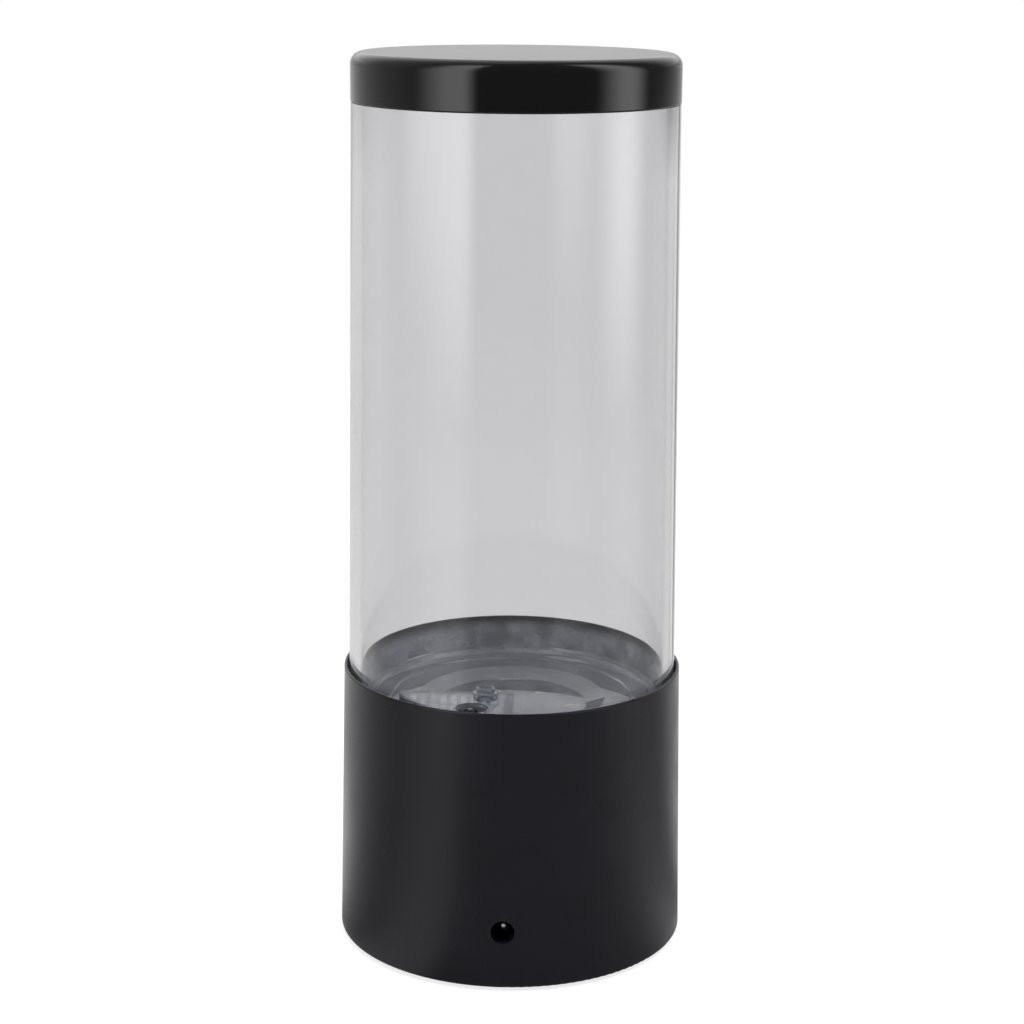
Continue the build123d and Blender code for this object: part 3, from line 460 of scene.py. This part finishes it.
def box_light(graph, turn, left_level, right_level):
    """The light of the two soft boxes at a bearing."""
    left = graph.math("MULTIPLY", graph.window(turn, *left_box), left_level)
    right = graph.math("MULTIPLY", graph.window(turn, *right_box), right_level)
    return graph.math("ADD", left, right)


def straight_through(graph, path):
    """1 for a ray that has come through clear pieces without a reflection."""
    direct = graph.math("LESS_THAN", path["Glossy Depth"], 0.5)
    return graph.math("MULTIPLY", path["Is Transmission Ray"], direct)


def floor_gleam(graph, turn, reach):
    """The light that gloss and glass find on the floor, by bearing and by reach from the lamp's axis."""
    far = graph.math("MAXIMUM", graph.math("SUBTRACT", room_light(graph, turn, low_levels), floor_lit), 0.0)
    near = graph.math("MULTIPLY", graph.spread(reach, *near_reach, near_gleam, 0.0, smooth=True),
                      graph.spread(turn, *near_bearings, 1.0, 0.0, smooth=True))
    gleam = box_light(graph, turn, left_gleam, right_gleam)
    for part in (far, near):
        gleam = graph.math("ADD", gleam, part)
    gleam = graph.math("MULTIPLY", gleam, graph.spread(reach, *under_reach, 0.0, 1.0, smooth=True))
    under = graph.spread(reach, *under_reach, under_gleam, 0.0, smooth=True)
    return graph.math("ADD", gleam, under)


def make_floor():
    """A round floor under the feet, white to the eye apart from the lamp's shadow, and unseen from below."""
    mesh = bpy.data.meshes.new("floor")
    made = bpy.data.objects.new("floor", mesh)
    shape = bmesh.new()
    bmesh.ops.create_circle(shape, cap_ends=True, segments=floor_steps, radius=floor_radius)
    shape.to_mesh(mesh)
    shape.free()
    bpy.context.scene.collection.objects.link(made)
    material, graph, place = new_material("floor_white")
    path = graph.node("ShaderNodeLightPath").outputs
    x, y = graph.split(place)[:2]
    reach = graph.math("SQRT", graph.math("ADD", graph.math("POWER", x, 2.0), graph.math("POWER", y, 2.0)))
    lit = graph.node("ShaderNodeBsdfDiffuse", {"Color": grey(floor_colour)}).outputs[0]
    lifted = graph.add(lit, graph.emission(floor_lift))
    mirrored = graph.add(lit, graph.emission(floor_gleam(graph, around(graph, x, y), reach)))
    seen = graph.mix(path["Is Camera Ray"], mirrored, lifted)
    shown = graph.mix(straight_through(graph, path), seen, graph.emission(1.0))
    from_below = graph.node("ShaderNodeNewGeometry").outputs["Backfacing"]
    past_edge = graph.spread(reach, floor_fade, floor_radius, 0.0, 1.0, smooth=True)
    gone = graph.node("ShaderNodeBsdfTransparent").outputs[0]
    close(graph, graph.mix(graph.math("MAXIMUM", from_below, past_edge), shown, gone))
    mesh.materials.append(material)


def make_world():
    """Light from all round, by direction, and plain white to the eye."""
    world = bpy.data.worlds.new("studio")
    bpy.context.scene.world = world
    world.use_nodes = True
    graph = Graph(world.node_tree)
    x, y, z = graph.split(graph.node("ShaderNodeTexCoord").outputs["Generated"])
    turn = around(graph, x, y)
    rise = graph.math("DEGREES", graph.math("ARCSINE", z))
    backdrop = graph.spread(graph.math("ABSOLUTE", turn), *backdrop_bearings, 0.0, backdrop_level)
    total = 0.0
    for light, share in (
        (box_light(graph, turn, box_level, box_level), graph.window(rise, *box_rises)),
        (room_light(graph, turn, room_levels), graph.spread(rise, *room_foot, 0.0, 1.0)),
        (room_light(graph, turn, low_levels), graph.spread(rise, *room_foot, 1.0, 0.0)),
        (backdrop, graph.window(rise, *backdrop_rises)),
    ):
        total = graph.math("ADD", total, graph.math("MULTIPLY", light, share))
    path = graph.node("ShaderNodeLightPath").outputs
    seen = graph.math("MAXIMUM", path["Is Camera Ray"], straight_through(graph, path))
    studio = graph.node("ShaderNodeBackground", {"Color": grey(1.0), "Strength": total}).outputs[0]
    plain = graph.node("ShaderNodeBackground", {"Color": grey(1.0), "Strength": 1.0}).outputs[0]
    graph.node("ShaderNodeOutputWorld", {"Surface": graph.mix(seen, studio, plain)})


def make_lamp():
    """A large soft lamp overhead that fills the shadows and leaves no image in the gloss."""
    light = bpy.data.lights.new("overhead", "AREA")
    light.shape = "DISK"
    light.size = lamp_size
    light.energy = lamp_power
    made = bpy.data.objects.new("overhead", light)
    made.location = lamp_place
    made.rotation_euler = Vector(lamp_place).to_track_quat("Z", "Y").to_euler()
    made.visible_camera = False
    made.visible_glossy = False
    made.visible_transmission = False
    bpy.context.scene.collection.objects.link(made)


def make_camera():
    """The photograph's viewpoint."""
    data = bpy.data.cameras.new("camera")
    data.lens = camera_lens_mm
    data.sensor_width = sensor_mm
    data.clip_start = camera_nearest
    data.clip_end = camera_farthest
    made = bpy.data.objects.new("camera", data)
    bpy.context.scene.collection.objects.link(made)
    right = Vector((math.cos(camera_turn), math.sin(camera_turn), 0.0))
    back = Vector((math.sin(camera_turn), -math.cos(camera_turn), 0.0))
    look = -back * math.cos(camera_pitch) - Vector((0.0, 0.0, math.sin(camera_pitch)))
    up = right.cross(look)
    side = right * math.cos(camera_roll) + up * math.sin(camera_roll)
    head = up * math.cos(camera_roll) - right * math.sin(camera_roll)
    spot = back * camera_distance - right * camera_side + Vector((0.0, 0.0, camera_height))
    turned = Matrix((side, head, -look)).transposed().to_4x4()
    made.matrix_world = Matrix.Translation(spot) @ turned
    bpy.context.scene.camera = made


make_floor()
make_world()
make_lamp()
make_camera()
bpy.context.scene.view_settings.view_transform = "Standard"
